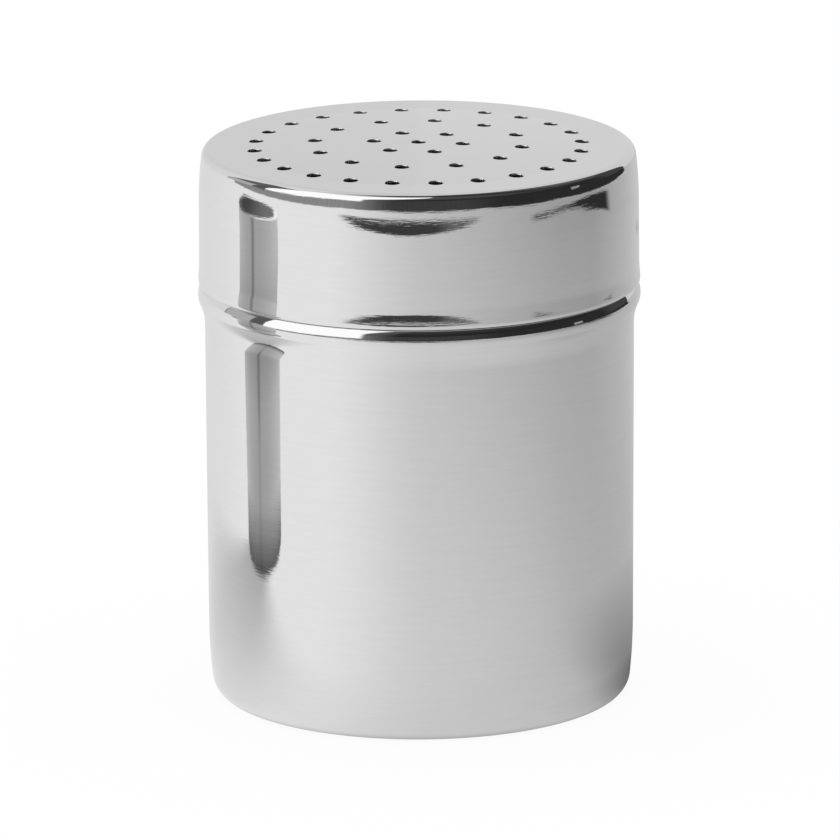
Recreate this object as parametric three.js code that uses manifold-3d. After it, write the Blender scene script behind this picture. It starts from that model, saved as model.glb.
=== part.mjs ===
// A sugar dispenser: a deep-drawn steel can, and a pierced lid that is set on it and turned to lock.
// Millimetres and degrees. The can stands on z = 0 with z up, and the lid's two pips lie on the X axis.
import * as THREE from "three";
import { mergeVertices } from "three/addons/utils/BufferGeometryUtils.js";
import Module from "manifold-3d";

// Sheet and clearances
const SHEET = 0.5; // thickness of the steel in both pieces
const RUNNING_GAP = 0.35; // all round, between the lid's mouth and the can's neck
const PIP_GAP = 0.35; // between a pip and the sides of its slot
const RIM_HEADROOM = 5.5; // between the can's rim and the lid's flat land above it

// Can, from the table up
const BODY_DIAMETER = 68; // at the top of the wall, where the flare begins; bead, lid and base follow it
const BODY_DRAFT = 0.25;
const STANDING_BAND = 8; // from the body's side in to the pressed-up panel of the base
const PANEL_RISE = 0.8;
const PANEL_SLOPE = 35; // steepest slope of the step round the panel
const FOOT_RADIUS = 3.3; // the tight corner between base and wall
const FOOT_TURN = 6; // slope of the wall where that corner ends
const SHOULDER_RADIUS = 90; // the long curve that brings the wall upright
const BEAD_HEIGHT = 65.1; // of the bead's widest line above the table
const BEAD_STEP = 1.05; // by which the bead stands out from the body
const BEAD_UNDER_RADIUS = 2.4;
const FLARE_SLOPE = 25; // steepest slope of the wall under the bead
const CROWN_RADIUS = 4; // the bead's upper side
const CROWN_TURN = 29; // slope where the crown rolls over towards the neck
const ROLL_RADIUS = 0.5;
const CROWN_SLOPE = 70; // steepest slope between crown and neck

// Lid, from its lower edge up
const LID_INSET = 0.05; // of the lid's side from the bead's widest line
const SEAT_GAP = 0.16; // from the end of the bead's crown up to the lid's lower edge
const LID_HEIGHT = 22.3; // lower edge to the top of the dome
const HEM_RADIUS = 1.2; // the lower edge turns in
const HEM_TURN = 30;
const LID_DRAFT = 0.5;
const CHEEK_RADIUS = 20; // the wide curve at the top of the skirt
const CHEEK_TURN = 9.5; // slope of the skirt where the tight edge begins
const EDGE_RADIUS = 1.3; // the tight edge between skirt and top
const DOME_RISE = 0.75;
const DOME_MARGIN = 1.5; // of domed sheet outside the outer ring of holes

// Holes: one in the middle, then rings that double in number
const HOLE_DIAMETER = 2.3;
const RING_COUNT = 3;
const FIRST_RING_HOLES = 6;
const FIRST_RING_RADIUS = 7.1;
const OUTER_RING_INSET = 9; // of the outer ring from the lid's side; the rings between are evenly spaced

// Bayonet: pips pressed inwards from the skirt, and the slots that they turn in
const PIP_COUNT = 2;
const PIP_HEIGHT = 9.65; // of a pip's middle above the lid's lower edge
const PIP_DIAMETER = 3.6; // of the bump inside the lid
const PIP_TAPER = 0.6; // by which the radius shrinks from root to tip
const PIP_DEPTH = 1.1; // of the dimple outside the lid
const LOCK_TURN = 20; // of the lid, clockwise, from set on to locked

// Fineness of the facets
const AROUND = 64; // facets round the axis
const FACET_SAG = 0.03; // most that a facet of an outline leaves its arc
const HOLE_SIDES = 12;
const PIP_SIDES = 16;
const OVERSHOOT = 1; // by which a cutter passes the sheet

const STEEL = { color: 0xc9c9c9, metalness: 1, roughness: 0.16 };

const sin = (degrees) => Math.sin(THREE.MathUtils.degToRad(degrees));
const cos = (degrees) => Math.cos(THREE.MathUtils.degToRad(degrees));
const tan = (degrees) => Math.tan(THREE.MathUtils.degToRad(degrees));

// Two arcs that step aside by `step` at `slope` have radii that add up to this.
const pairOfRadii = (step, slope) => step / (1 - cos(slope));

// Levels and radii that both pieces use
const bodyRadius = BODY_DIAMETER / 2;
const beadRadius = bodyRadius + BEAD_STEP;
const lidRadius = beadRadius - LID_INSET;
const hemRise = HEM_RADIUS * (sin(HEM_TURN) + sin(LID_DRAFT));
const mouthRadius = lidRadius - HEM_RADIUS * (cos(LID_DRAFT) - cos(HEM_TURN)) - SHEET * cos(HEM_TURN);
const neckRadius = mouthRadius - RUNNING_GAP;
const crownEnd = BEAD_HEIGHT + CROWN_RADIUS * sin(CROWN_TURN);
const rollEnd = crownEnd + ROLL_RADIUS * (sin(CROWN_SLOPE) - sin(CROWN_TURN));
const crownStep = CROWN_RADIUS * (1 - cos(CROWN_TURN));
const rollStep = ROLL_RADIUS * (cos(CROWN_TURN) - cos(CROWN_SLOPE));
const filletRadius = (beadRadius - crownStep - rollStep - neckRadius) / (1 - cos(CROWN_SLOPE));
const neckFoot = rollEnd + filletRadius * sin(CROWN_SLOPE);
const lidSeat = crownEnd + SEAT_GAP;
const landHeight = LID_HEIGHT - DOME_RISE;
const rimHeight = lidSeat + landHeight - SHEET - RIM_HEADROOM;
const outerRingRadius = lidRadius - OUTER_RING_INSET;
const ringSpacing = (outerRingRadius - FIRST_RING_RADIUS) / (RING_COUNT - 1);

// The outer face of a pressing, drawn from the top down as points with their outward normals.
// A normal's angle is 0 when it points away from the axis and 90 when it points up.
class Outline {
  constructor(r, z, angle) {
    this.points = [];
    this.place(r, z, angle);
  }

  place(r, z, angle) {
    this.r = r;
    this.z = z;
    this.angle = angle;
    this.points.push({ r, z, angle });
  }

  // An arc that ends with the normal at `angle`: bulging where the angle falls, hollow where it rises.
  turn(radius, angle) {
    const signed = angle < this.angle ? radius : -radius;
    const { r, z, angle: start } = this;
    const stepAngle = 2 * THREE.MathUtils.radToDeg(Math.acos(1 - FACET_SAG / Math.max(radius, FACET_SAG)));
    const steps = Math.ceil(Math.abs(angle - start) / stepAngle);
    for (let i = 1; i <= steps; i++) {
      const a = start + ((angle - start) * i) / steps;
      this.place(r + signed * (cos(a) - cos(start)), z + signed * (sin(a) - sin(start)), a);
    }
    return this;
  }

  // A crease, where the next stretch starts at another slope.
  crease(angle) {
    this.place(this.r, this.z, angle);
    return this;
  }

  // A straight stretch along the face to a height, or to a radius.
  toHeight(z) {
    this.place(this.r + (this.z - z) * tan(this.angle), z, this.angle);
    return this;
  }

  toRadius(r) {
    this.place(r, this.z, this.angle);
    return this;
  }

  outerFace() {
    return this.points.map(({ r, z }) => new THREE.Vector2(r, z));
  }

  innerFace() {
    return this.points.map(
      ({ r, z, angle }) => new THREE.Vector2(Math.max(0, r - SHEET * cos(angle)), z - SHEET * sin(angle)),
    );
  }
}

const wasm = await Module();
wasm.setup();

// A closed geometry as a solid that can be joined and cut.
function solidOf(geometry) {
  const bare = geometry.index ? geometry.toNonIndexed() : geometry.clone();
  bare.deleteAttribute("normal");
  bare.deleteAttribute("uv");
  const merged = mergeVertices(bare, 1e-4);
  const triVerts = [];
  for (let i = 0; i < merged.index.count; i += 3) {
    const [a, b, c] = merged.index.array.slice(i, i + 3);
    if (a !== b && b !== c && c !== a) triVerts.push(a, b, c);
  }
  return new wasm.Manifold(
    new wasm.Mesh({
      numProp: 3,
      vertProperties: merged.attributes.position.array,
      triVerts: new Uint32Array(triVerts),
    }),
  );
}

function geometryOf(solid) {
  const { numProp, vertProperties, triVerts } = solid.getMesh();
  const geometry = new THREE.BufferGeometry();
  const buffer = new THREE.InterleavedBuffer(vertProperties, numProp);
  geometry.setAttribute("position", new THREE.InterleavedBufferAttribute(buffer, 3, 0));
  geometry.setIndex(new THREE.BufferAttribute(triVerts, 1));
  const flat = geometry.toNonIndexed();
  flat.computeVertexNormals();
  return flat;
}

// A profile of (radius, height) points turned round the Z axis.
function revolve(profile, sides) {
  return new THREE.LatheGeometry(profile, sides).rotateX(Math.PI / 2);
}

// A blunt cone along X from `x0` to `x1`, closed at both ends.
function studAlongX(x0, radius0, x1, radius1) {
  const profile = [
    new THREE.Vector2(0, x0),
    new THREE.Vector2(radius0, x0),
    new THREE.Vector2(radius1, x1),
    new THREE.Vector2(0, x1),
  ];
  return revolve(profile, PIP_SIDES).rotateY(Math.PI / 2);
}

const pipAngles = Array.from({ length: PIP_COUNT }, (_, k) => (k * 2 * Math.PI) / PIP_COUNT);

// The can: base, foot, wall, bead and neck as one pressing, with its bayonet slots.
function canOutline() {
  const footRise = FOOT_RADIUS * (1 - sin(FOOT_TURN));
  const shoulderTop = footRise + SHOULDER_RADIUS * (sin(FOOT_TURN) - sin(BODY_DRAFT));
  const panelPair = pairOfRadii(PANEL_RISE, PANEL_SLOPE);
  return new Outline(neckRadius, rimHeight, 0)
    .toHeight(neckFoot)
    .turn(filletRadius, CROWN_SLOPE)
    .turn(ROLL_RADIUS, CROWN_TURN)
    .turn(CROWN_RADIUS, 0)
    .turn(BEAD_UNDER_RADIUS, -FLARE_SLOPE)
    .turn(pairOfRadii(BEAD_STEP, FLARE_SLOPE) - BEAD_UNDER_RADIUS, -BODY_DRAFT)
    .toHeight(shoulderTop)
    .turn(SHOULDER_RADIUS, -FOOT_TURN)
    .turn(FOOT_RADIUS, -90)
    .toRadius(bodyRadius - STANDING_BAND)
    .turn(panelPair / 2, -90 - PANEL_SLOPE)
    .turn(panelPair / 2, -90)
    .toRadius(0);
}

// One slot at the azimuth of the X axis: down from the rim, then aside to where the pip locks.
function bayonetSlot() {
  const halfWidth = PIP_DIAMETER / 2 + PIP_GAP;
  const pipLevel = lidSeat + PIP_HEIGHT;
  const reach = neckRadius + OVERSHOOT;
  const wayInHeight = rimHeight + OVERSHOOT - pipLevel;
  const wayIn = new THREE.BoxGeometry(reach, 2 * halfWidth, wayInHeight);
  wayIn.translate(reach / 2, 0, pipLevel + wayInHeight / 2);
  const past = reach / cos(LOCK_TURN / 2);
  const sector = new THREE.Shape();
  sector.moveTo(0, 0);
  sector.lineTo(past * cos(LOCK_TURN), -past * sin(LOCK_TURN));
  sector.lineTo(past, 0);
  const lockWay = new THREE.ExtrudeGeometry(sector, { depth: 2 * halfWidth, bevelEnabled: false });
  lockWay.translate(0, 0, pipLevel - halfWidth);
  const roundEnd = () => studAlongX(0, halfWidth, reach, halfWidth).translate(0, 0, pipLevel);
  const lockedEnd = roundEnd().rotateZ(-THREE.MathUtils.degToRad(LOCK_TURN));
  return solidOf(wayIn).add(solidOf(lockWay)).add(solidOf(roundEnd())).add(solidOf(lockedEnd));
}

function canSolid() {
  const outline = canOutline();
  const profile = [...outline.outerFace().reverse(), ...outline.innerFace()];
  let can = solidOf(revolve(profile, AROUND));
  for (const angle of pipAngles) {
    const turned = geometryOf(bayonetSlot()).rotateZ(angle);
    can = can.subtract(solidOf(turned));
  }
  return can;
}

// The lid in its own frame, with its lower edge at z = 0.
function lidOutline() {
  const domeRadius = outerRingRadius + DOME_MARGIN;
  const domeSlope = 2 * THREE.MathUtils.radToDeg(Math.atan(DOME_RISE / domeRadius));
  const cheekRise = CHEEK_RADIUS * (sin(CHEEK_TURN) - sin(LID_DRAFT));
  const cheekFoot = landHeight - EDGE_RADIUS * (1 - sin(CHEEK_TURN)) - cheekRise;
  const cheekRadius = lidRadius - (cheekFoot - hemRise) * tan(LID_DRAFT);
  const cheekStep = CHEEK_RADIUS * (cos(LID_DRAFT) - cos(CHEEK_TURN));
  const landRadius = cheekRadius - cheekStep - EDGE_RADIUS * cos(CHEEK_TURN);
  return new Outline(0, LID_HEIGHT, 90)
    .turn(domeRadius / sin(domeSlope), 90 - domeSlope)
    .crease(90)
    .toRadius(landRadius)
    .turn(EDGE_RADIUS, CHEEK_TURN)
    .turn(CHEEK_RADIUS, LID_DRAFT)
    .toHeight(hemRise)
    .turn(HEM_RADIUS, -HEM_TURN);
}

// Places of the pierced holes on the lid.
function holePlaces() {
  const places = [new THREE.Vector2(0, 0)];
  for (let ring = 0; ring < RING_COUNT; ring++) {
    const radius = FIRST_RING_RADIUS + ring * ringSpacing;
    const count = FIRST_RING_HOLES * 2 ** ring;
    for (let k = 0; k < count; k++) {
      const angle = (k * 360) / count;
      places.push(new THREE.Vector2(radius * cos(angle), radius * sin(angle)));
    }
  }
  return places;
}

function holeCutter({ x, y }) {
  const height = DOME_RISE + SHEET + 2 * OVERSHOOT;
  const punch = new THREE.CylinderGeometry(HOLE_DIAMETER / 2, HOLE_DIAMETER / 2, height, HOLE_SIDES);
  punch.rotateX(Math.PI / 2).translate(x, y, LID_HEIGHT + OVERSHOOT - height / 2);
  return solidOf(punch);
}

function lidSolid() {
  const outline = lidOutline();
  const profile = [...outline.innerFace(), ...outline.outerFace().reverse()];
  let lid = solidOf(revolve(profile, AROUND));
  const skirtRadius = lidRadius - (PIP_HEIGHT - hemRise) * tan(LID_DRAFT);
  const dimpleBottom = skirtRadius - PIP_DEPTH;
  const pipRadius = PIP_DIAMETER / 2;
  for (const angle of pipAngles) {
    const bump = studAlongX(dimpleBottom - SHEET, pipRadius - PIP_TAPER, skirtRadius - SHEET / 2, pipRadius);
    const dimple = studAlongX(
      dimpleBottom,
      pipRadius - PIP_TAPER - SHEET,
      skirtRadius + OVERSHOOT,
      pipRadius - SHEET,
    );
    for (const stud of [bump, dimple]) stud.translate(0, 0, PIP_HEIGHT).rotateZ(angle);
    lid = lid.add(solidOf(bump)).subtract(solidOf(dimple));
  }
  return holePlaces().reduce((solid, place) => solid.subtract(holeCutter(place)), lid);
}

function pressing(name, solid) {
  const mesh = new THREE.Mesh(geometryOf(solid), new THREE.MeshStandardMaterial(STEEL));
  mesh.name = name;
  return mesh;
}

const dispenser = new THREE.Group();
const can = pressing("can", canSolid());
const lid = pressing("lid", lidSolid());
lid.position.z = lidSeat;
dispenser.add(can, lid);

export default dispenser;
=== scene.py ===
"""The looks of the sugar dispenser: a can and its pierced lid of polished steel, in a white studio."""

import math

import bpy
from mathutils import Matrix, Vector
from mathutils.geometry import delaunay_2d_cdt


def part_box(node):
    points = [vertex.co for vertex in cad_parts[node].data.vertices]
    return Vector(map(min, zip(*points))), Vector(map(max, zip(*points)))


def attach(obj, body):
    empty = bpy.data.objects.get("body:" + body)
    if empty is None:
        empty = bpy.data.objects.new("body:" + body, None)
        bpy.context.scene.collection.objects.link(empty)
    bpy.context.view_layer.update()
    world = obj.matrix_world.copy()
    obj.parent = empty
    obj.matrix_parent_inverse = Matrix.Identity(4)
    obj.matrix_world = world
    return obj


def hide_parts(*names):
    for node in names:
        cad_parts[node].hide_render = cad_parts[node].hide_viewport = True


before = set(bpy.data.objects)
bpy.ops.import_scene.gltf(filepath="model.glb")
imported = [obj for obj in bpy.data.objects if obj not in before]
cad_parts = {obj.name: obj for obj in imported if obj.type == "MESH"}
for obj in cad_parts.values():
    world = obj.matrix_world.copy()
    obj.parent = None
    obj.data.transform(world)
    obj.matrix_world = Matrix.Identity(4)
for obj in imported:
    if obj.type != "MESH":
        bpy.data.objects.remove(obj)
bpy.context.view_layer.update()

MM = 0.001
can_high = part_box("can")[1]
lid_low, lid_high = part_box("lid")

# Sizes read off the frame, in millimetres
bead_radius = can_high.x / MM
rim_height = can_high.z / MM
lid_radius = lid_high.x / MM
lid_seat = lid_low.z / MM
lid_height = (lid_high.z - lid_low.z) / MM

# Sizes that the part's source gives, in millimetres and degrees
SHEET = 0.5
RUNNING_GAP = 0.35
BEAD_STEP = 1.05
BODY_DRAFT = 0.25
STANDING_BAND = 8
PANEL_RISE = 0.8
PANEL_SLOPE = 35
FOOT_RADIUS = 3.3
FOOT_TURN = 6
SHOULDER_RADIUS = 90
BEAD_HEIGHT = 65.1
BEAD_UNDER_RADIUS = 2.4
FLARE_SLOPE = 25
CROWN_RADIUS = 4
CROWN_TURN = 29
ROLL_RADIUS = 0.5
CROWN_SLOPE = 70
HEM_RADIUS = 1.2
HEM_TURN = 30
LID_DRAFT = 0.5
CHEEK_RADIUS = 20
CHEEK_TURN = 9.5
EDGE_RADIUS = 1.3
DOME_RISE = 0.75
DOME_MARGIN = 1.5
HOLE_DIAMETER = 2.3
RING_COUNT = 3
FIRST_RING_HOLES = 6
FIRST_RING_RADIUS = 7.1
OUTER_RING_INSET = 9
PIP_HEIGHT = 9.65
PIP_DIAMETER = 3.6
PIP_TAPER = 0.6
PIP_DEPTH = 1.1
PIP_GAP = 0.35
LOCK_TURN = 20

# Slope of the lid's skirt under its cheek, in degrees, at heights over its lower edge
SKIRT_SLOPES = (
    (18.9, 5.3),
    (18.3, 4.6),
    (17.8, 4.0),
    (16.2, 3.4),
    (15.2, 2.2),
    (14.3, 1.0),
    (13.3, 0.25),
    (3.4, 0.25),
    (2.7, 1.8),
    (2.4, 3.7),
    (0.9, 4.8),
    (0.66, 3.2),
)

# Finer detail than the frame has, in millimetres
HOLE_ROLL = 0.2  # the rolled edge that the punch leaves on top
CUT_EDGE = 0.08  # rounding of every other cut edge
RIM_EDGE = 0.2  # rounding of the can's rim and the lid's lip
DIMPLE_LIP = 0.35  # how far a pip's dimple rolls out into the skirt
DIMPLE_DEPTH = 0.22  # of a pip's dimple in the outer face

# How fine the nets of faces are, in millimetres
COLUMNS = 256
EDGE_STEPS = 4  # faces across each rounding of a cut edge
LIP_CLEAR = 1.2 * RIM_EDGE  # from the lid's lip to the skirt's last ring
LAND_ROWS = 3
CHEEK_ROWS = 44
PIP_ROWS = 24
HEM_ROWS = 44
INNER_SKIP = 3  # rings of the skirt's outer face to one of its inner face, except round the pips
PIP_ZONE = 2.4  # half size of the finer net round a pip
PIP_SPACING = 0.2
PIP_REACH = 0.5  # radians off a pip beyond which nothing is pressed in
HOLE_SIDES = 36
PATCH_SPACING = 1.0
PATCH_MARGIN = 0.3  # from the outer holes' rolled edges to the border of the pierced patch
PATCH_INSET = 0.7  # from the patch's last ring to its border, in rings
OPENING_CLEAR = 0.2  # from an opening's rounding to the nearest plain spot of the net
WALL_ROWS = 12
RING_ROWS = 2
PANEL_ROWS = 8
NECK_ROWS = 10
NECK_MARGIN = 1  # from the slots' room down to the foot of the neck's own net
RIM_ROWS = 60
SLOT_SIDE_ROWS = 6
SLOT_RUN_ROWS = 16
SLOT_MOUTH_ROWS = 10
SLOT_END_ROWS = 20
SLOT_CORNER_ROWS = 14
WELDS_PER_MM = 1e4
WELD = 1e-5
TINY = 1e-3

# Degrees of an outline's arc between two rings
ARC_STEP = 3.0
FILLET_STEP = 5.0
SOFT_STEP = 1.0
SHOULDER_STEP = 0.5
CHEEK_STEP = 0.25

# Which steel a face has, by its place among a piece's materials
OUTSIDE, INSIDE, ROLLED = 0, 1, 2


def sin(degrees):
    return math.sin(math.radians(degrees))


def cos(degrees):
    return math.cos(math.radians(degrees))


def tan(degrees):
    return math.tan(math.radians(degrees))


def pair_of_radii(step, slope):
    """Two arcs that step aside by `step` at `slope` have radii that add up to this."""
    return step / (1 - cos(slope))


def smooth(value, low, high):
    t = min(1, max(0, (value - low) / (high - low)))
    return t * t * (3 - 2 * t)


body_radius = bead_radius - BEAD_STEP
mouth_radius = lid_radius - HEM_RADIUS * (cos(LID_DRAFT) - cos(HEM_TURN)) - SHEET * cos(HEM_TURN)
neck_radius = mouth_radius - RUNNING_GAP
crown_step = CROWN_RADIUS * (1 - cos(CROWN_TURN))
roll_step = ROLL_RADIUS * (cos(CROWN_TURN) - cos(CROWN_SLOPE))
fillet_radius = (bead_radius - crown_step - roll_step - neck_radius) / (1 - cos(CROWN_SLOPE))
roll_end = BEAD_HEIGHT + CROWN_RADIUS * sin(CROWN_TURN) + ROLL_RADIUS * (sin(CROWN_SLOPE) - sin(CROWN_TURN))
neck_foot = roll_end + fillet_radius * sin(CROWN_SLOPE)
land_height = lid_height - DOME_RISE
outer_ring_radius = lid_radius - OUTER_RING_INSET
outer_patch_radius = outer_ring_radius + HOLE_DIAMETER / 2 + HOLE_ROLL + PATCH_MARGIN
dome_radius = outer_ring_radius + DOME_MARGIN
dome_slope = 2 * math.degrees(math.atan(DOME_RISE / dome_radius))
sphere_radius = dome_radius / sin(dome_slope)
pip_level = lid_seat + PIP_HEIGHT


class Outline:
    """The outer face of a pressing in section, from the top down: (radius, height, angle of the normal)."""

    def __init__(self, r, z, angle):
        self.points = [(r, z, angle)]

    def end(self):
        return self.points[-1]

    def turn(self, radius, angle, step=ARC_STEP):
        """An arc that ends with the normal at `angle`: bulging where that falls, hollow where it rises."""
        r, z, start = self.end()
        signed = radius if angle < start else -radius
        steps = max(1, math.ceil(abs(angle - start) / step))
        for i in range(1, steps + 1):
            a = start + (angle - start) * i / steps
            self.points.append((r + signed * (cos(a) - cos(start)), z + signed * (sin(a) - sin(start)), a))
        return self

    def to_height(self, height, rows=1):
        r, z, angle = self.end()
        for i in range(1, rows + 1):
            level = z + (height - z) * i / rows
            self.points.append((r + (z - level) * tan(angle), level, angle))
        return self

    def to_radius(self, radius, rows=1):
        r, z, angle = self.end()
        for i in range(1, rows + 1):
            self.points.append((r + (radius - r) * i / rows, z, angle))
        return self

    def follow(self, slope_at, height, rows):
        """Down to a height with the normal's angle given by a function of the height."""
        top = self.end()[1]
        for i in range(1, rows + 1):
            r, z, angle = self.end()
            level = top + (height - top) * i / rows
            after = slope_at(level)
            self.points.append((r + (z - level) * tan((angle + after) / 2), level, after))
        return self


def inner(point):
    """The point of the sheet's inner face behind a point of its outer face, with the normal turned round."""
    r, z, angle = point
    return max(0.0, r - SHEET * cos(angle)), z - SHEET * sin(angle), angle + 180


def cut_edge(point, way, rounding):
    """Across the sheet from outer to inner face, at a cut facing `way` (1 on along the outline, -1 back)."""
    r, z, angle = point
    normal = Vector((cos(angle), sin(angle)))
    along = Vector((sin(angle), -cos(angle))) * way
    face = angle - 90 * way
    points = []
    for depth, start in ((rounding, angle), (SHEET - rounding, face)):
        centre = Vector((r, z)) - along * rounding - normal * depth
        for i in range(EDGE_STEPS + 1):
            a = start - 90 / EDGE_STEPS * way * i
            spot = centre + rounding * Vector((cos(a), sin(a)))
            points.append((spot.x, spot.y, a))
    return points


class Skin:
    """Faces that carry a normal at each corner. Corners at one place share one vertex. Millimetres."""

    def __init__(self):
        self.places = []
        self.lookup = {}
        self.faces = []
        self.normals = []
        self.finishes = []

    def vertex(self, place):
        key = tuple(round(c * WELDS_PER_MM) for c in place)
        if key not in self.lookup:
            self.lookup[key] = len(self.places)
            self.places.append(Vector(place) * MM)
        return self.lookup[key]

    def face(self, corners, finish):
        """Adds a face from (place, normal) corners, turned to face along its normals."""
        kept = []
        for place, normal in corners:
            index = self.vertex(place)
            if index not in [k for k, _ in kept]:
                kept.append((index, normal))
        if len(kept) < 3:
            return
        a, b, c = (self.places[kept[i][0]] for i in (0, 1, 2))
        facing = (b - a).cross(c - a)
        if len(kept) == 4:
            facing += (c - a).cross(self.places[kept[3][0]] - a)
        if facing.dot(sum((n for _, n in kept), Vector())) < 0:
            kept.reverse()
        self.faces.append([k for k, _ in kept])
        self.normals.extend(n for _, n in kept)
        self.finishes.append(finish)

    def made(self, name, materials):
        mesh = bpy.data.meshes.new(name)
        mesh.from_pydata(self.places, [], self.faces)
        mesh.polygons.foreach_set("use_smooth", [True] * len(mesh.polygons))
        mesh.polygons.foreach_set("material_index", self.finishes)
        for material in materials:
            mesh.materials.append(material)
        mesh.normals_split_custom_set([n.normalized() for n in self.normals])
        mesh.update()
        piece = bpy.data.objects.new(name, mesh)
        bpy.context.scene.collection.objects.link(piece)
        return piece


def turned(point, theta):
    """A point of the outline turned round the axis to `theta`: its place and its normal."""
    r, z, angle = point
    c, s = math.cos(theta), math.sin(theta)
    return Vector((r * c, r * s, z)), Vector((cos(angle) * c, cos(angle) * s, sin(angle)))


def revolve(skin, points, columns, finish, shape=turned):
    """Rings of faces between neighbouring points of an outline."""
    rings = [[shape(point, theta) for theta in columns] for point in points]
    for upper, lower in zip(rings, rings[1:]):
        for k in range(len(columns)):
            j = (k + 1) % len(columns)
            skin.face([upper[k], upper[j], lower[j], lower[k]], finish)


def cut_sheet(skin, runs, gone, others, place, roundings, period=None):
    """A stretch of sheet with cut edges, from points spread over it in its own plane (u, v).

    runs: the cut edges, each a list of (u, v, eu, ev) with (eu, ev) pointing out of the metal
    gone(u, v, margin): whether a spot lies in an opening, or nearer to it than the margin
    others: further spots of the sheet, its plain border among them
    place(u, v, depth): place, normal, and the directions of u and v, at a depth under the outer face
    roundings: of the cut edges at the outer face and at the inner face
    period: length in u after which the sheet meets itself
    """
    for depth, way, margin, finish in ((0, 1, roundings[0], OUTSIDE), (SHEET, -1, roundings[1], INSIDE)):
        spots = [spot for spot in others if not gone(*spot, margin + OPENING_CLEAR)]
        links = []
        for run in runs:
            first = len(spots)
            spots += [(u - margin * eu, v - margin * ev) for u, v, eu, ev in run]
            last = len(spots) - 1
            if period:
                spots.append((spots[first][0] + period, spots[first][1]))
            links += [(i, i + 1) for i in range(first, last)] + [(last, last + 1 if period else first)]
        made = delaunay_2d_cdt([Vector(spot) for spot in spots], links, [], 0, WELD)
        net = [spots[given[0]] if given else tuple(at) for at, given in zip(made[0], made[3])]
        for triangle in made[2]:
            middle = [sum(net[i][axis] for i in triangle) / 3 for axis in (0, 1)]
            if not gone(*middle, margin - TINY):
                corners = [place(*net[i], depth) for i in triangle]
                skin.face([(at, normal * way) for at, normal, _, _ in corners], finish)
    for run in runs:
        sections = [edge_section(spot, place, roundings) for spot in run]
        for near, far in zip(sections, sections[1:] + sections[:1]):
            for k in range(len(near) - 1):
                skin.face([near[k], near[k + 1], far[k + 1], far[k]], ROLLED if k < EDGE_STEPS else INSIDE)


def edge_section(spot, place, roundings):
    """The cut edge in section at one spot of an opening, from the outer face to the inner face."""
    u, v, eu, ev = spot
    section = []
    for depth, start, rounding in ((roundings[0], 0, roundings[0]), (SHEET - roundings[1], 90, roundings[1])):
        for i in range(EDGE_STEPS + 1):
            a = start + 90 / EDGE_STEPS * i
            back = rounding * (1 - sin(a))
            at, normal, du, dv = place(u - back * eu, v - back * ev, depth - rounding * cos(a))
            out = du * eu + dv * ev
            section.append((at, normal * cos(a) + out * sin(a)))
    return section


# The lid

def skirt_slope(level):
    """Degrees by which the skirt's normal tips up: a long tail under the cheek, and a little over the hem."""
    return interpolated(SKIRT_SLOPES, level - lid_seat)


def interpolated(table, at):
    """A value from a table of (place, value) rows in falling order of place, straight between the rows."""
    if at >= table[0][0]:
        return table[0][1]
    for (high, a), (low, b) in zip(table, table[1:]):
        if at >= low:
            return b + (a - b) * (at - low) / (high - low)
    return table[-1][1]


def dome_point(r):
    """The top of the lid at a radius: its height and its slope in degrees."""
    if r < dome_radius:
        z = lid_height - sphere_radius + math.sqrt(sphere_radius ** 2 - r ** 2)
        return z, math.degrees(math.asin(r / sphere_radius))
    return land_height, 0.0


def lid_outline():
    """From the edge of the pierced part down to the lip."""

    def below_land(land_radius):
        outline = Outline(outer_patch_radius, lid_seat + dome_point(outer_patch_radius)[0], 90)
        outline.to_radius(land_radius, LAND_ROWS)
        outline.turn(EDGE_RADIUS, CHEEK_TURN)
        outline.turn(CHEEK_RADIUS, SKIRT_SLOPES[0][1], CHEEK_STEP)
        for level, rows in stops:
            outline.follow(skirt_slope, level, rows)
        return outline.turn(HEM_RADIUS, -HEM_TURN)

    lip_rise = HEM_RADIUS * (sin(HEM_TURN) + sin(SKIRT_SLOPES[-1][1]))
    hem_top = lid_seat + lip_rise
    stops = ((pip_level + PIP_ZONE, CHEEK_ROWS), (pip_level - PIP_ZONE, PIP_ROWS), (hem_top, HEM_ROWS))
    trial = below_land(0)
    return below_land(lid_radius - max(r for r, z, angle in trial.points[LAND_ROWS + 1:]))


def hole_places():
    places = [(0.0, 0.0)]
    spacing = (outer_ring_radius - FIRST_RING_RADIUS) / (RING_COUNT - 1)
    for ring in range(RING_COUNT):
        radius = FIRST_RING_RADIUS + ring * spacing
        count = FIRST_RING_HOLES * 2 ** ring
        places += [(radius * cos(k * 360 / count), radius * sin(k * 360 / count)) for k in range(count)]
    return places


def top_place(x, y, depth):
    """A spot of the lid's top: place, normal and the directions of x and y along the sheet."""
    r = math.hypot(x, y)
    z, slope = dome_point(r)
    normal = Vector((sin(slope) * x / r, sin(slope) * y / r, cos(slope))) if r > 0 else Vector((0, 0, 1))
    at = Vector((x, y, lid_seat + z)) - normal * depth
    du = Vector((1, 0, -normal.x / normal.z)).normalized()
    dv = Vector((0, 1, -normal.y / normal.z)).normalized()
    return at, normal, du, dv


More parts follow.
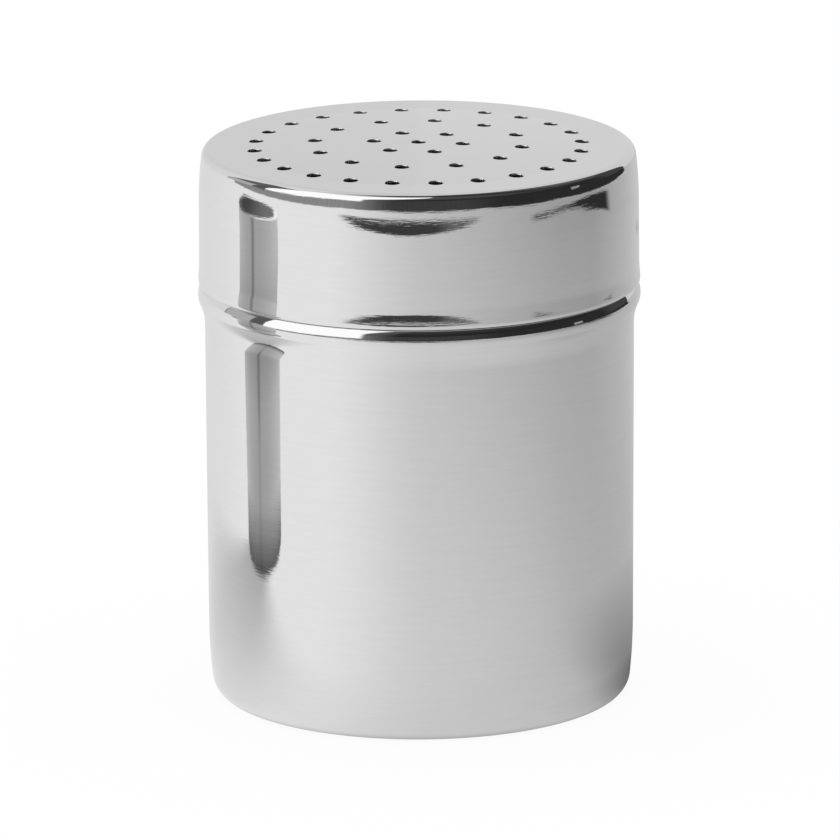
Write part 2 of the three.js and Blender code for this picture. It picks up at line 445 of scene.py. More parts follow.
def dimpled(deepest, bottom, mouth, side):
    """A shape for revolve() that presses the two pips in; side is 1 on the outer face, -1 on the inner."""

    def shape(point, theta):
        r, z, angle = point
        place, normal = turned(point, theta)
        for middle in (0, math.pi):
            off = (theta - middle + math.pi) % (2 * math.pi) - math.pi
            across = off * lid_radius
            up = z - pip_level
            distance = math.hypot(across, up)
            if distance >= mouth or abs(off) > PIP_REACH:
                continue
            depth = deepest * (1 - smooth(distance, bottom, mouth))
            fall = (deepest * (1 - smooth(distance + TINY, bottom, mouth)) - depth) / TINY
            radial = Vector((math.cos(theta), math.sin(theta), 0))
            sideways = Vector((-math.sin(theta), math.cos(theta), 0))
            place = place - radial * depth
            if distance > 0:
                tip = (sideways * across + Vector((0, 0, 1)) * up) * (fall / distance)
                normal = (normal + tip * side).normalized()
        return place, normal

    return shape


def lid_columns():
    """Angles of the lid's columns: evenly spaced, and finer where the pips are."""
    half = PIP_ZONE / lid_radius
    count = math.ceil(2 * PIP_ZONE / PIP_SPACING)
    angles = []
    for middle in (0, math.pi):
        angles += [middle - half + 2 * half * i / count for i in range(count + 1)]
        plain = COLUMNS // 2
        angles += [middle + half + (math.pi - 2 * half) * i / plain for i in range(1, plain)]
    return sorted(angles)


def clear_of_lip(points):
    """The points that come before the rounding of the lip, which the last point is on."""
    return [p for p in points if math.dist(p[:2], points[-1][:2]) > LIP_CLEAR]


def make_lid(materials):
    skin = Skin()
    columns = lid_columns()
    points = lid_outline().points
    pip = PIP_DIAMETER / 2
    outer_shape = dimpled(DIMPLE_DEPTH, pip - PIP_TAPER - SHEET - DIMPLE_LIP / 2, pip - SHEET + DIMPLE_LIP, 1)
    inner_shape = dimpled(PIP_DEPTH, pip - PIP_TAPER - DIMPLE_LIP / 2, pip + DIMPLE_LIP, -1)
    lip = cut_edge(points[-1], 1, RIM_EDGE)
    revolve(skin, clear_of_lip(points) + lip[:1], columns, OUTSIDE, outer_shape)
    revolve(skin, lip, columns, OUTSIDE)
    inside = clear_of_lip([inner(p) for p in points])
    kept = [p for i, p in enumerate(inside[:-1]) if i % INNER_SKIP == 0 or abs(p[1] - pip_level) < PIP_ZONE]
    revolve(skin, [lip[-1], inside[-1]] + kept[::-1], columns, INSIDE, inner_shape)

    # The pierced patch
    radius = HOLE_DIAMETER / 2
    places = hole_places()
    turns = [k * 360 / HOLE_SIDES for k in range(HOLE_SIDES)]
    runs = [[(x + radius * cos(a), y + radius * sin(a), -cos(a), -sin(a)) for a in turns] for x, y in places]

    def gone(u, v, margin):
        return any(math.hypot(u - x, v - y) < radius + margin for x, y in places)

    others = [(outer_patch_radius * math.cos(t), outer_patch_radius * math.sin(t)) for t in columns]
    rings = int(outer_patch_radius / PATCH_SPACING)
    for ring in range(1, rings + 1):
        r = outer_patch_radius * ring / (rings + PATCH_INSET)
        count = round(2 * math.pi * r / PATCH_SPACING)
        others += [(r * cos(k * 360 / count), r * sin(k * 360 / count)) for k in range(count)]
    cut_sheet(skin, runs, gone, others, top_place, (HOLE_ROLL, CUT_EDGE))
    return skin.made("lid_pressing", materials)


# The can

def can_outline(top):
    """From a height on the neck down to the middle of the base."""
    foot_rise = FOOT_RADIUS * (1 - sin(FOOT_TURN))
    shoulder_top = foot_rise + SHOULDER_RADIUS * (sin(FOOT_TURN) - sin(BODY_DRAFT))
    panel_pair = pair_of_radii(PANEL_RISE, PANEL_SLOPE)
    outline = Outline(neck_radius, top, 0)
    outline.to_height(neck_foot)
    outline.turn(fillet_radius, CROWN_SLOPE, FILLET_STEP)
    outline.turn(ROLL_RADIUS, CROWN_TURN)
    outline.turn(CROWN_RADIUS, 0, SOFT_STEP)
    outline.turn(BEAD_UNDER_RADIUS, -FLARE_SLOPE)
    outline.turn(pair_of_radii(BEAD_STEP, FLARE_SLOPE) - BEAD_UNDER_RADIUS, -BODY_DRAFT, SOFT_STEP)
    outline.to_height(shoulder_top, WALL_ROWS)
    outline.turn(SHOULDER_RADIUS, -FOOT_TURN, SHOULDER_STEP)
    outline.turn(FOOT_RADIUS, -90)
    outline.to_radius(body_radius - STANDING_BAND, RING_ROWS)
    outline.turn(panel_pair / 2, -90 - PANEL_SLOPE)
    outline.turn(panel_pair / 2, -90)
    outline.to_radius(0, PANEL_ROWS)
    return outline


def slot_run(middle):
    """One bayonet slot's outline, seen from outside: (u, v, eu, ev), (eu, ev) pointing out of the metal."""
    half = PIP_DIAMETER / 2 + PIP_GAP
    lock = -math.radians(LOCK_TURN) * neck_radius
    roof = pip_level + half
    floor = pip_level - half
    run = [(-half, rim_height, 1, 1)]
    run += straight((-half, rim_height), (-half, roof), (1, 0), SLOT_SIDE_ROWS)[1:]
    run += [(-half, roof, 1, -1)]
    run += straight((-half, roof), (lock, roof), (0, -1), SLOT_RUN_ROWS)[1:]
    run += round_end((lock, pip_level), half, 90, 270, SLOT_END_ROWS)
    run += straight((lock, floor), (0, floor), (0, 1), SLOT_RUN_ROWS)
    run += round_end((0, pip_level), half, -90, 0, SLOT_CORNER_ROWS)
    run += straight((half, pip_level), (half, rim_height), (-1, 0), SLOT_MOUTH_ROWS)
    run += [(half, rim_height, -1, 1)]
    return [(middle + u, v, eu, ev) for u, v, eu, ev in run]


def straight(a, b, out, rows):
    """Spots from a up to, but not at, b."""
    return [(a[0] + (b[0] - a[0]) * i / rows, a[1] + (b[1] - a[1]) * i / rows, *out) for i in range(rows)]


def round_end(centre, radius, start, stop, rows):
    """Spots on an arc, without its last one."""
    turns = [start + (stop - start) * i / rows for i in range(rows)]
    return [(centre[0] + radius * cos(a), centre[1] + radius * sin(a), -cos(a), -sin(a)) for a in turns]


def neck_place(u, v, depth):
    """A spot of the can's neck, u along it and v up: place, normal, and the directions of u and v."""
    theta = u / neck_radius
    radial = Vector((math.cos(theta), math.sin(theta), 0))
    along = Vector((-math.sin(theta), math.cos(theta), 0))
    return radial * (neck_radius - depth) + Vector((0, 0, v)), radial, along, Vector((0, 0, 1))


def in_slot(u, v, margin):
    """Whether a spot of the neck lies in a bayonet slot, or nearer to it than the margin."""
    half = PIP_DIAMETER / 2 + PIP_GAP + margin
    lock = -math.radians(LOCK_TURN) * neck_radius
    for middle in (0, math.pi * neck_radius):
        x = u - middle
        if abs(x) < half and v > pip_level:
            return True
        if lock < x < 0 and abs(v - pip_level) < half:
            return True
        if math.hypot(x, v - pip_level) < half or math.hypot(x - lock, v - pip_level) < half:
            return True
    return False


def make_can(materials):
    skin = Skin()
    columns = [2 * math.pi * k / COLUMNS for k in range(COLUMNS)]
    patch_foot = pip_level - PIP_DIAMETER - NECK_MARGIN
    points = can_outline(patch_foot).points
    revolve(skin, points, columns, OUTSIDE)
    revolve(skin, [inner(p) for p in points], columns, INSIDE)

    # The neck's free edge runs along the rim and down into each slot.
    quarter = math.pi / 2 * neck_radius
    half = PIP_DIAMETER / 2 + PIP_GAP
    run = straight((-quarter, rim_height), (-half, rim_height), (0, 1), RIM_ROWS)
    for middle, stop, rows in ((0, 2 * quarter - half, 2 * RIM_ROWS), (2 * quarter, 3 * quarter, RIM_ROWS)):
        run += slot_run(middle)
        run += straight((middle + half, rim_height), (stop, rim_height), (0, 1), rows)[1:]
    left = -COLUMNS // 4
    across = [neck_radius * 2 * math.pi * k / COLUMNS for k in range(left, left + COLUMNS + 1)]
    levels = [patch_foot + (rim_height - RIM_EDGE - patch_foot) * i / NECK_ROWS for i in range(NECK_ROWS)]
    others = [(u, v) for u in across for v in levels]
    cut_sheet(skin, [run], in_slot, others, neck_place, (RIM_EDGE, RIM_EDGE), 4 * quarter)
    return skin.made("can_pressing", materials)


class Graph:
    """Builds a node tree from plain expressions."""

    def __init__(self, tree):
        self.tree = tree
        tree.nodes.clear()

    def node(self, kind, inputs=(), **settings):
        made = self.tree.nodes.new(kind)
        for name, value in settings.items():
            setattr(made, name, value)
        for name, value in dict(inputs).items():
            self.wire(value, made.inputs[name])
        return made

    def wire(self, value, socket):
        if isinstance(value, bpy.types.NodeSocket):
            self.tree.links.new(value, socket)
        else:
            socket.default_value = value

    def math(self, operation, *values):
        made = self.tree.nodes.new("ShaderNodeMath")
        made.operation = operation
        for value, socket in zip(values, made.inputs):
            self.wire(value, socket)
        return made.outputs[0]

    def dot(self, vector, constant):
        made = self.tree.nodes.new("ShaderNodeVectorMath")
        made.operation = "DOT_PRODUCT"
        self.wire(vector, made.inputs[0])
        made.inputs[1].default_value = constant
        return made.outputs["Value"]

    def line(self, value, low, high, start, stop, kind="LINEAR"):
        """A straight slope from `start` at `low` to `stop` at `high`, and level beyond both."""
        inputs = {"Value": value, "From Min": low, "From Max": high, "To Min": start, "To Max": stop}
        return self.node("ShaderNodeMapRange", inputs, interpolation_type=kind).outputs["Result"]

    def ramp(self, value, low, high, start=0.0, stop=1.0):
        """A smooth step from `start` at `low` to `stop` at `high`."""
        return self.line(value, low, high, start, stop, "SMOOTHSTEP")

    def between(self, value, low, high, soft):
        """1 between two values and 0 outside them, with soft edges."""
        half = soft / 2
        rise = self.ramp(value, low - half, low + half)
        fall = self.ramp(value, high + half, high - half)
        return self.times(rise, fall)

    def degrees(self, operation, *values):
        """The angle that an operation gives, in degrees."""
        return self.math("DEGREES", self.math(operation, *values))

    def length(self, a, b):
        return self.math("SQRT", self.math("ADD", self.times(a, a), self.times(b, b)))

    def mix(self, share, a, b):
        """a where share is 0, b where it is 1."""
        made = self.tree.nodes.new("ShaderNodeMix")
        made.data_type = "FLOAT"
        for value, socket in zip((share, a, b), (made.inputs[0], made.inputs[2], made.inputs[3])):
            self.wire(value, socket)
        return made.outputs[0]

    def mix_shader(self, share, a, b):
        """Shader a where share is 0, b where it is 1."""
        made = self.node("ShaderNodeMixShader")
        for value, socket in zip((share, a.outputs[0], b.outputs[0]), made.inputs):
            self.wire(value, socket)
        return made

    def times(self, *values):
        product = values[0]
        for value in values[1:]:
            product = self.math("MULTIPLY", product, value)
        return product


# Lines in the steel: how long they are round the axis and how wide across it, in metres, and their detail
FINE_LINES = (0.0025, 0.0003, 3.0)
BROAD_LINES = (0.02, 0.0025, 1.0)
TONE_LINES = (0.006, 0.0006, 3.0)
LINE_ROUGHNESS = 0.6
BROAD_SHARE = 3.0  # height of the broad lines, the fine ones being 1
TONES = (0.985, 1.01)
TONE_RANGE = (0.3, 0.7)
CLOUDS_PER_METRE = 60.0
CLOUD_DETAIL = 4.0
CLOUD_RANGE = (0.3, 0.75)
CLOUD_ROUGHNESS = (0.8, 1.25)


def steel(name, grey, roughness, line_depth):
    """Polished stainless steel with fine polishing lines round the axis."""
    material = bpy.data.materials.new(name)
    material.use_nodes = True
    g = Graph(material.node_tree)
    place = g.node("ShaderNodeTexCoord").outputs["Object"]
    xyz = g.node("ShaderNodeSeparateXYZ", {"Vector": place})
    x, y, z = (xyz.outputs[i] for i in range(3))
    across = g.math("ADD", z, g.length(x, y))

    def lines(length, width, detail):
        spot = g.node("ShaderNodeCombineXYZ", {
            "X": g.math("DIVIDE", x, length),
            "Y": g.math("DIVIDE", y, length),
            "Z": g.math("DIVIDE", across, width),
        }).outputs[0]
        look = {"Vector": spot, "Scale": 1.0, "Detail": detail, "Roughness": LINE_ROUGHNESS}
        return g.node("ShaderNodeTexNoise", look).outputs[0]

    height = g.math("ADD", lines(*FINE_LINES), g.times(lines(*BROAD_LINES), BROAD_SHARE))
    bump = g.node("ShaderNodeBump", {"Strength": 1.0, "Distance": line_depth, "Height": height})
    look = {"Vector": place, "Scale": CLOUDS_PER_METRE, "Detail": CLOUD_DETAIL}
    cloud = g.node("ShaderNodeTexNoise", look).outputs[0]
    rough = g.ramp(cloud, *CLOUD_RANGE, *(roughness * share for share in CLOUD_ROUGHNESS))
    tone = g.line(lines(*TONE_LINES), *TONE_RANGE, *(grey * share for share in TONES))
    shader = g.node("ShaderNodeBsdfPrincipled", {
        "Base Color": tone,
        "Metallic": 1.0,
        "Roughness": rough,
        "Normal": bump.outputs[0],
    })
    g.node("ShaderNodeOutputMaterial", {"Surface": shader.outputs[0]})
    return material


steels = [
    steel("polished_steel", grey=0.75, roughness=0.035, line_depth=2.5e-6),
    steel("satin_steel_inside", grey=0.62, roughness=0.28, line_depth=4.0e-6),
    steel("cut_steel", grey=0.75, roughness=0.08, line_depth=1.0e-7),
]

can_piece = make_can(steels)
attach(can_piece, "can")
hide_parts("can")

lid_piece = make_lid(steels)
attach(lid_piece, "lid")
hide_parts("lid")

# The camera, at the photograph's angle

VIEW_AZIMUTH = 9.12
VIEW_ELEVATION = 14.1
VIEW_DISTANCE = 2.0
VIEW_ROLL = 0.3
LENS = 539.7
SENSOR_WIDTH = 36
CLIP_START = 0.01
TARGET = Vector((0, 0, 0.04417))

front = Vector((sin(VIEW_AZIMUTH), -cos(VIEW_AZIMUTH), 0))
right = Vector((cos(VIEW_AZIMUTH), sin(VIEW_AZIMUTH), 0))
camera = bpy.data.objects.new("camera", bpy.data.cameras.new("camera"))
camera.data.lens = LENS
camera.data.sensor_width = SENSOR_WIDTH
camera.data.clip_start = CLIP_START
camera.location = TARGET + VIEW_DISTANCE * (front * cos(VIEW_ELEVATION) + Vector((0, 0, sin(VIEW_ELEVATION))))
aim = (TARGET - camera.location).to_track_quat("-Z", "Y")
camera.rotation_euler = (aim.to_matrix() @ Matrix.Rotation(-math.radians(VIEW_ROLL), 3, "Z")).to_euler()
bpy.context.scene.collection.objects.link(camera)
bpy.context.scene.camera = camera

# The studio: a white table and backdrop, a big soft box and a grey post at the left, a dark room in front.
# Directions are from the can: azimuth 0 towards the camera and rising to the right, in degrees.
# Levels are what the metal sees, 1 being white. A slope is (from, to, level at the one, level at the other).

SHADOW_SHARE = 0.08  # how much of the floor's white is lit by the scene's light, and so takes a shadow
FLOOR_HALF = 8
FLOOR_LEVEL = -0.02 * MM

# The room low down, beyond the table
FAR_LEFT = (-42, -12, 0.3, 0.055)
FAR_RIGHT = (20, 48, 1.0, 0.5)
FAR_STREAK_WIDTH = 2.0
FAR_STREAK_DETAIL = 3.0
FAR_STREAKS = (0.3, 0.7, 0.75, 1.3)

# The table, with painted light that dims to the right and with distance
TABLE_LEFT = (-50, 10, 1.0, 0.765)
TABLE_RIGHT = (10, 75, 1.0, 0.83)
TABLE_BEHIND = (-100, -175, 1.0, 0.76)
FALL_GROWS = (-45, 95, 0.0, 1.2)
FALL_ENDS = (100, 150, 1.0, 0.0)
FALL = (0.1, 0.4, 0.0, 0.3)

# Where the table ends: nearer at the right than in front
RIGHT_END_FAR = 1.15
RIGHT_END = 0.98
RIGHT_END_SLANT = 0.9
RIGHT_END_SOFT = (0.0, 0.02)
FRONT_END = (1.72, 1.76)
LEFT_END = (-1.36, -1.4)
NO_BACK_END = (-112, 136, 2)

# The post's outline: radius, height, and place ahead of the can
POST_PROFILE = ((0.0292, 0.0, 0.015), (0.0314, 0.03, 0.0135), (0.0332, 0.05, 0.0169), (0.0332, 0.068, 0.0169))
POST_SIDE = -0.145
POST_AHEAD = 0.015
POST_SIDES = 96
POST_DARK_SIDE = (-66, -8, 0.62, 0.44)
POST_LIT_SIDE = (-2, 75, 1.0, 1.5)
POST_STRIPE = (-9, -2, 4)
POST_STRIPE_LEVEL = (0.02, 0.033, 0.38, 0.27)
# painted shade: the post darker towards its foot, where it stands on the table
POST_FOOT_SHADE = (0.0, 0.012, 0.18, 1.0)
POST_BAND = (0.033, 0.05, 0.012)
POST_BAND_LEVEL = 0.8
CAP_RIM = (0.006, 0.004)
CAP_MIDDLE_LEVEL = (-0.02, 0.02, 0.07, 0.2)
CAP_RIM_LEVEL = (-0.02, 0.015, 0.15, 1.1)
CAP_DEPTH = (0.0004, 0.0002)

# Shadows on the table: the edge of what stands there, the level at that edge, how far the shadow reaches,
# which way it falls, and the cosine at which its sides end
FOOT_EDGE = 0.030
# painted contact shadow: the table darkens right round the can's foot
CONTACT_SHADOW = (FOOT_EDGE - 0.001, FOOT_EDGE + 0.003, 0.25, 1.0)
SHADOWS_OF_CAN = ((FOOT_EDGE, 0.42, 0.075, 135, 0.25), (FOOT_EDGE, 0.4, 0.016, 135, -0.1))
SHADOW_OF_POST = (POST_PROFILE[0][0], 0.58, 0.1, 118, 0.62)
SHADOW_TAIL = (0.0, 0.25, 0.9, 1.0)
SHADOW_CORE = 0.95

# Dark things on the table: one in front whose near edge bends away, one at the right, one far at the left
FRONT_THING_AZIMUTH = -5
FRONT_THING_NEAR = 0.56
FRONT_THING_BEND = (36, 0.34)
FRONT_THING_EDGE = (-0.01, 0.01)
FRONT_THING_FAR = (0.95, 0.91)
FRONT_THING_LEVEL = (8, 16, 0.05, 0.13)
RIGHT_THING_AZIMUTH = 75
RIGHT_THING_MIDDLE = 0.71
RIGHT_THING_BEND = (35, 0.14)
RIGHT_THING_HALF = (80, 100, 0.03, 0.09)
RIGHT_THING_EDGE = (0.006, -0.006)
RIGHT_THING_ENDS = (60, 114, 6)
RIGHT_THING_LEVEL = 0.03
LEFT_THING_SIDE = (-0.74, -0.56, 0.03)
LEFT_THING_AHEAD = (-0.16, 0.1, 0.03)
LEFT_THING_LEVEL = 0.35

# The room higher up
ROOM_STARTS = (17, 21)
ROOM = (20, 60, 0.022, 0.09)
ROOM_RIGHT_STARTS = (108, 122)
ROOM_RIGHT = (25, 50, 0.06, 0.14)
SLIT_OVER = (73, 100, 1)
SLIT_LEFT = (-0.6, -0.05)
SLIT_RIGHT = (0.8, 0.6)
SLIT_LEVEL = 0.04
FLECK_AZIMUTH = (87, 93, 1)
FLECK_ELEVATION = (-1, 6, 1)
FLECK_LEVEL = 0.35

# The backdrop, whose right edge leans, and the grey thing in front of it at the left
BACKDROP_EDGE = 137
BACKDROP_LEAN = 0.35
BACKDROP_SOFT = (-1, 1)
BACKDROP_RIGHT = (140, 168, 0.57, 0.7)
BACKDROP_LEFT = (-125, -175, 0.86, 0.74)
BACKDROP_LEFT_STARTS = (-87, -89)
SWEEP_STARTS = (99, 101)
SWEEP_SLANT = 1.07
SWEEP_LEVEL = 0.76
GREY_THING = (-120.5, -88, 0.8)
GREY_THING_TOP = (52, 46)
GREY_THING_LEVEL = (18, 24, 0.52, 0.14)
GREY_THING_DARK_STARTS = (-99, -97)
GREY_THING_DARK = 0.12
GREY_THING_RIM = (-120.5, -119.3, 0.6)
GREY_THING_RIM_LEVEL = 0.3

# The soft box, whose right edge leans over to the right high up, and the light that spills past that edge
BOX_LEFT = (-88.5, -87.5)
BOX_RIGHT = (22, 75, -31, 14)
BOX_FOOT = (-88, -30, 0.8, 5.0)
BOX_FOOT_EDGE = (-0.5, 0.5)
BOX_TOP = (99, 97)
BOX_EDGE = (2.5, -1)
BOX_LEVEL = 1.3
SPILL = (1, 26, 0.14, 0.0)


def plan(g):
    """Where a spot of the table lies: to the side, ahead, and its distance and azimuth."""
    place = g.node("ShaderNodeNewGeometry").outputs["Position"]
    side = g.dot(place, right)
    ahead = g.dot(place, front)
    return side, ahead, g.length(side, ahead), g.degrees("ARCTAN2", side, ahead)


def far_wall(g, azimuth):
    """The room low down, beyond the table: grey at the left, dark in front, darker at the right."""
    spot = {"W": g.math("DIVIDE", azimuth, FAR_STREAK_WIDTH), "Detail": FAR_STREAK_DETAIL}
    streaks = g.node("ShaderNodeTexNoise", spot, noise_dimensions="1D").outputs[0]
    return g.times(g.ramp(azimuth, *FAR_LEFT), g.ramp(azimuth, *FAR_RIGHT), g.line(streaks, *FAR_STREAKS))


def seen_in_metal(g):
    paths = g.node("ShaderNodeLightPath")
    return g.math("MAXIMUM", paths.outputs["Is Glossy Ray"], paths.outputs["Is Transmission Ray"]), paths


def cast_shadow(g, side, ahead, edge, start, reach, middle, low):
    """How much of the light is left round a round thing that stands on the table, lit from the front left."""
    gap = g.math("SUBTRACT", g.length(side, ahead), edge)
    away = g.math("COSINE", g.math("SUBTRACT", g.math("ARCTAN2", side, ahead), math.radians(middle)))
    depth = g.times(g.line(gap, 0.0, reach, start, 1.0), g.line(gap, *SHADOW_TAIL))
    return g.mix(g.ramp(away, low, SHADOW_CORE), 1.0, depth)


def bend(g, value, reach, depth):
    """0 where the value is 0, and `depth` where it is `reach`, along a parabola."""
    off = g.math("DIVIDE", value, reach)
    return g.times(off, off, depth)


def dark_things(g, level, side, ahead, distance, azimuth):
    """The table's level with the dark things on it."""
    off = g.math("SUBTRACT", azimuth, FRONT_THING_AZIMUTH)
    near = g.math("ADD", FRONT_THING_NEAR, bend(g, off, *FRONT_THING_BEND))
    past_near = g.ramp(g.math("SUBTRACT", distance, near), *FRONT_THING_EDGE)
    front_thing = g.times(past_near, g.ramp(distance, *FRONT_THING_FAR))
    level = g.mix(front_thing, level, g.ramp(azimuth, *FRONT_THING_LEVEL))

    off = g.math("MAXIMUM", g.math("SUBTRACT", azimuth, RIGHT_THING_AZIMUTH), 0)
    bent = g.math("ADD", distance, bend(g, off, *RIGHT_THING_BEND))
    past_middle = g.math("ABSOLUTE", g.math("SUBTRACT", bent, RIGHT_THING_MIDDLE))
    past_edge = g.math("SUBTRACT", past_middle, g.ramp(azimuth, *RIGHT_THING_HALF))
    right_thing = g.times(g.ramp(past_edge, *RIGHT_THING_EDGE), g.between(azimuth, *RIGHT_THING_ENDS))
    level = g.mix(right_thing, level, RIGHT_THING_LEVEL)

    left_thing = g.times(g.between(side, *LEFT_THING_SIDE), g.between(ahead, *LEFT_THING_AHEAD))
    return g.mix(left_thing, level, LEFT_THING_LEVEL)


def table_level(g):
    """How bright the table looks in the metal, with painted fall-off of the light and painted shadows."""
    side, ahead, distance, azimuth = plan(g)
    level = g.ramp(azimuth, *TABLE_LEFT)
    level = g.times(level, g.line(azimuth, *TABLE_RIGHT), g.line(azimuth, *TABLE_BEHIND))
    fall = g.times(g.line(azimuth, *FALL_GROWS), g.line(azimuth, *FALL_ENDS), g.line(distance, *FALL))
    # Painted light fall-off and a painted contact shadow at the can's foot
    level = g.times(level, g.math("SUBTRACT", 1.0, fall), g.ramp(distance, *CONTACT_SHADOW))
    for shadow in SHADOWS_OF_CAN:
        level = g.times(level, cast_shadow(g, side, ahead, *shadow))
    from_post = (g.math("SUBTRACT", side, POST_SIDE), g.math("SUBTRACT", ahead, POST_AHEAD))
    level = g.times(level, cast_shadow(g, *from_post, *SHADOW_OF_POST))
    level = dark_things(g, level, side, ahead, distance, azimuth)

    right_end = g.math("MINIMUM", RIGHT_END_FAR, g.math("ADD", RIGHT_END, g.times(ahead, RIGHT_END_SLANT)))
    past_right = g.ramp(g.math("SUBTRACT", side, right_end), *RIGHT_END_SOFT)
    past_others = g.math("MAXIMUM", g.ramp(ahead, *FRONT_END), g.ramp(side, *LEFT_END))
    past = g.math("MAXIMUM", past_right, past_others)
    return g.mix(g.times(past, g.between(azimuth, *NO_BACK_END)), level, far_wall(g, azimuth))


def added(name, places, faces, material):
    """A mesh of the studio."""
    mesh = bpy.data.meshes.new(name)
    mesh.from_pydata(places, [], faces)
    mesh.materials.append(material)
    thing = bpy.data.objects.new(name, mesh)
    bpy.context.scene.collection.objects.link(thing)
    return thing


def studio_floor():
    """White with the object's shadow to the camera, a table in a room to the metal, matt white otherwise."""
    material = bpy.data.materials.new("studio_floor")
    material.use_nodes = True
    g = Graph(material.node_tree)
    in_metal, paths = seen_in_metal(g)
    strength = g.mix(in_metal, 1.0 - SHADOW_SHARE, table_level(g))
    glow = g.node("ShaderNodeEmission", {"Color": (1, 1, 1, 1), "Strength": strength})
    matt = g.node("ShaderNodeBsdfDiffuse", {"Color": (1, 1, 1, 1)})
    dim = g.node("ShaderNodeBsdfDiffuse", {"Color": (SHADOW_SHARE,) * 3 + (1,)})
    pale = g.node("ShaderNodeAddShader")
    g.wire(glow.outputs[0], pale.inputs[0])
    g.wire(dim.outputs[0], pale.inputs[1])
    metal_or_camera = g.mix_shader(in_metal, pale, glow)
    surface = g.mix_shader(paths.outputs["Is Diffuse Ray"], metal_or_camera, matt)
    g.node("ShaderNodeOutputMaterial", {"Surface": surface.outputs[0]})
    corners = [(x * FLOOR_HALF, y * FLOOR_HALF, FLOOR_LEVEL) for x, y in ((-1, -1), (1, -1), (1, 1), (-1, 1))]
    floor = added("studio_floor", corners, [(0, 1, 2, 3)], material)


def studio_post():
    """The grey post at the left, which shows only in the metal."""
    material = bpy.data.materials.new("studio_post")
    material.use_nodes = True
    g = Graph(material.node_tree)
    place = g.node("ShaderNodeNewGeometry").outputs["Position"]
    up = g.dot(place, (0, 0, 1))
    side = g.math("SUBTRACT", g.dot(place, right), POST_SIDE)
    ahead = g.math("SUBTRACT", g.dot(place, front), POST_AHEAD)
    turn = g.degrees("ARCTAN2", ahead, side)
    level = g.times(g.ramp(turn, *POST_DARK_SIDE), g.ramp(turn, *POST_LIT_SIDE))
    level = g.mix(g.between(turn, *POST_STRIPE), level, g.ramp(up, *POST_STRIPE_LEVEL))
    # Painted shade towards the post's foot
    level = g.times(level, g.line(up, *POST_FOOT_SHADE), g.mix(g.between(up, *POST_BAND), 1.0, POST_BAND_LEVEL))

    top_radius, top, top_ahead = POST_PROFILE[-1]
    from_middle = g.length(side, g.math("SUBTRACT", ahead, top_ahead - POST_AHEAD))
    rim = g.ramp(from_middle, *(top_radius - inset for inset in CAP_RIM))
    cap = g.mix(rim, g.ramp(ahead, *CAP_MIDDLE_LEVEL), g.ramp(ahead, *CAP_RIM_LEVEL))
    level = g.mix(g.ramp(up, *(top - depth for depth in CAP_DEPTH)), level, cap)
    glow = g.node("ShaderNodeEmission", {"Color": (1, 1, 1, 1), "Strength": level})
    g.node("ShaderNodeOutputMaterial", {"Surface": glow.outputs[0]})

    places = []
    for radius, height, ring_ahead in POST_PROFILE:
        middle = right * POST_SIDE + front * ring_ahead
        for k in range(POST_SIDES):
            t = 2 * math.pi * k / POST_SIDES
            places.append(middle + Vector((radius * math.cos(t), radius * math.sin(t), height)))
    walls = []
    for ring in range(len(POST_PROFILE) - 1):
        for k in range(POST_SIDES):
            here, beside = ring * POST_SIDES + k, ring * POST_SIDES + (k + 1) % POST_SIDES
            walls.append((here, beside, beside + POST_SIDES, here + POST_SIDES))
    walls.append(tuple(range(len(places) - POST_SIDES, len(places))))
    post = added("studio_post", places, walls, material)
    for kind in ("camera", "diffuse", "shadow", "transmission", "volume_scatter"):
        setattr(post, "visible_" + kind, False)


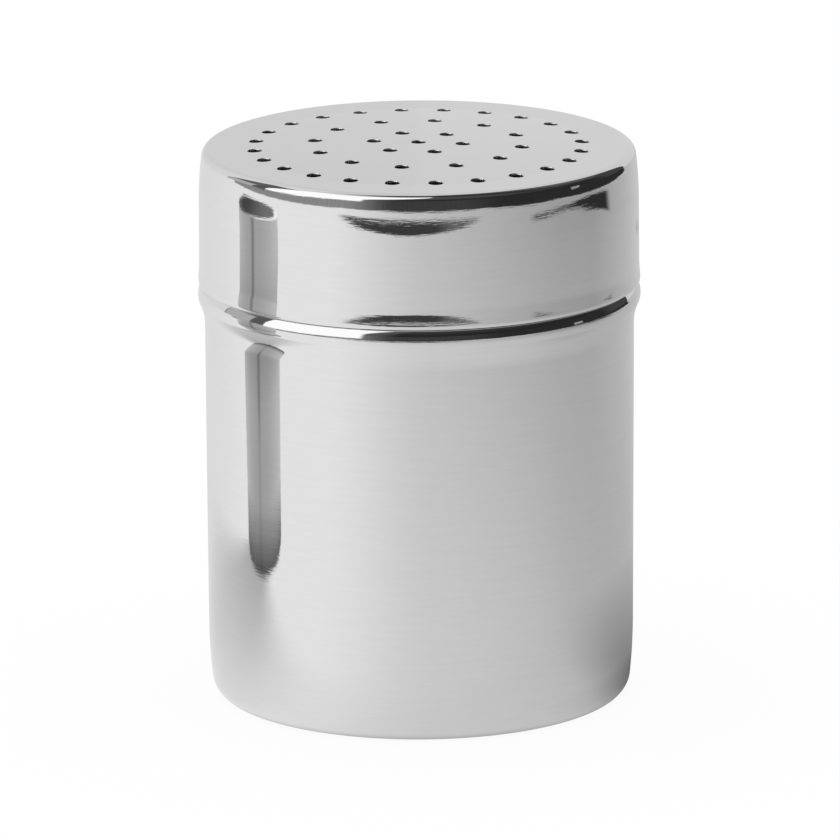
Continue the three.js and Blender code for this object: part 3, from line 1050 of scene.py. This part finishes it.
def studio_world():
    """White to the camera; to the metal, a dark room with a soft box and a white backdrop."""
    world = bpy.data.worlds.new("studio")
    bpy.context.scene.world = world
    world.use_nodes = True
    g = Graph(world.node_tree)
    way = g.node("ShaderNodeTexCoord").outputs["Generated"]
    side = g.dot(way, right)
    ahead = g.dot(way, front)
    up = g.dot(way, (0, 0, 1))
    azimuth = g.degrees("ARCTAN2", side, ahead)
    elevation = g.degrees("ARCSINE", up)
    over = g.degrees("ARCTAN2", up, ahead)

    # The dark room
    level = g.mix(g.ramp(elevation, *ROOM_STARTS), far_wall(g, azimuth), g.ramp(elevation, *ROOM))
    level = g.mix(g.ramp(azimuth, *ROOM_RIGHT_STARTS), level, g.ramp(elevation, *ROOM_RIGHT))

    # The backdrop
    back_edge = g.math("ADD", BACKDROP_EDGE, g.times(elevation, BACKDROP_LEAN))
    at_right = g.ramp(g.math("SUBTRACT", azimuth, back_edge), *BACKDROP_SOFT)
    level = g.mix(at_right, level, g.ramp(azimuth, *BACKDROP_RIGHT))
    slanted = g.math("ADD", ahead, g.times(SWEEP_SLANT, g.math("MAXIMUM", side, 0.0)))
    level = g.mix(g.ramp(g.degrees("ARCTAN2", up, slanted), *SWEEP_STARTS), level, SWEEP_LEVEL)
    level = g.mix(g.ramp(azimuth, *BACKDROP_LEFT_STARTS), level, g.ramp(azimuth, *BACKDROP_LEFT))
    dark = g.ramp(azimuth, *GREY_THING_DARK_STARTS)
    grey = g.mix(dark, g.ramp(elevation, *GREY_THING_LEVEL), GREY_THING_DARK)
    grey = g.mix(g.between(azimuth, *GREY_THING_RIM), grey, GREY_THING_RIM_LEVEL)
    level = g.mix(g.times(g.between(azimuth, *GREY_THING), g.ramp(elevation, *GREY_THING_TOP)), level, grey)

    # The soft box and its spill
    past_edge = g.math("SUBTRACT", azimuth, g.ramp(elevation, *BOX_RIGHT))
    over_foot = g.math("SUBTRACT", elevation, g.ramp(azimuth, *BOX_FOOT))
    lit = g.times(g.ramp(azimuth, *BOX_LEFT), g.ramp(over_foot, *BOX_FOOT_EDGE), g.ramp(over, *BOX_TOP))
    level = g.math("MAXIMUM", level, g.times(g.ramp(past_edge, *SPILL), lit))
    level = g.mix(g.times(lit, g.ramp(past_edge, *BOX_EDGE)), level, BOX_LEVEL)

    # A dark slit overhead and a small bright fleck at the right
    slit = g.times(g.between(over, *SLIT_OVER), g.ramp(side, *SLIT_LEFT), g.ramp(side, *SLIT_RIGHT))
    level = g.mix(slit, level, SLIT_LEVEL)
    fleck = g.times(g.between(azimuth, *FLECK_AZIMUTH), g.between(elevation, *FLECK_ELEVATION))
    level = g.mix(fleck, level, FLECK_LEVEL)
    in_metal, paths = seen_in_metal(g)
    glow = g.node("ShaderNodeBackground", {"Color": (1, 1, 1, 1), "Strength": g.mix(in_metal, 1.0, level)})
    g.node("ShaderNodeOutputWorld", {"Surface": glow.outputs[0]})


studio_floor()
studio_post()
studio_world()

bpy.context.scene.view_settings.view_transform = "Standard"
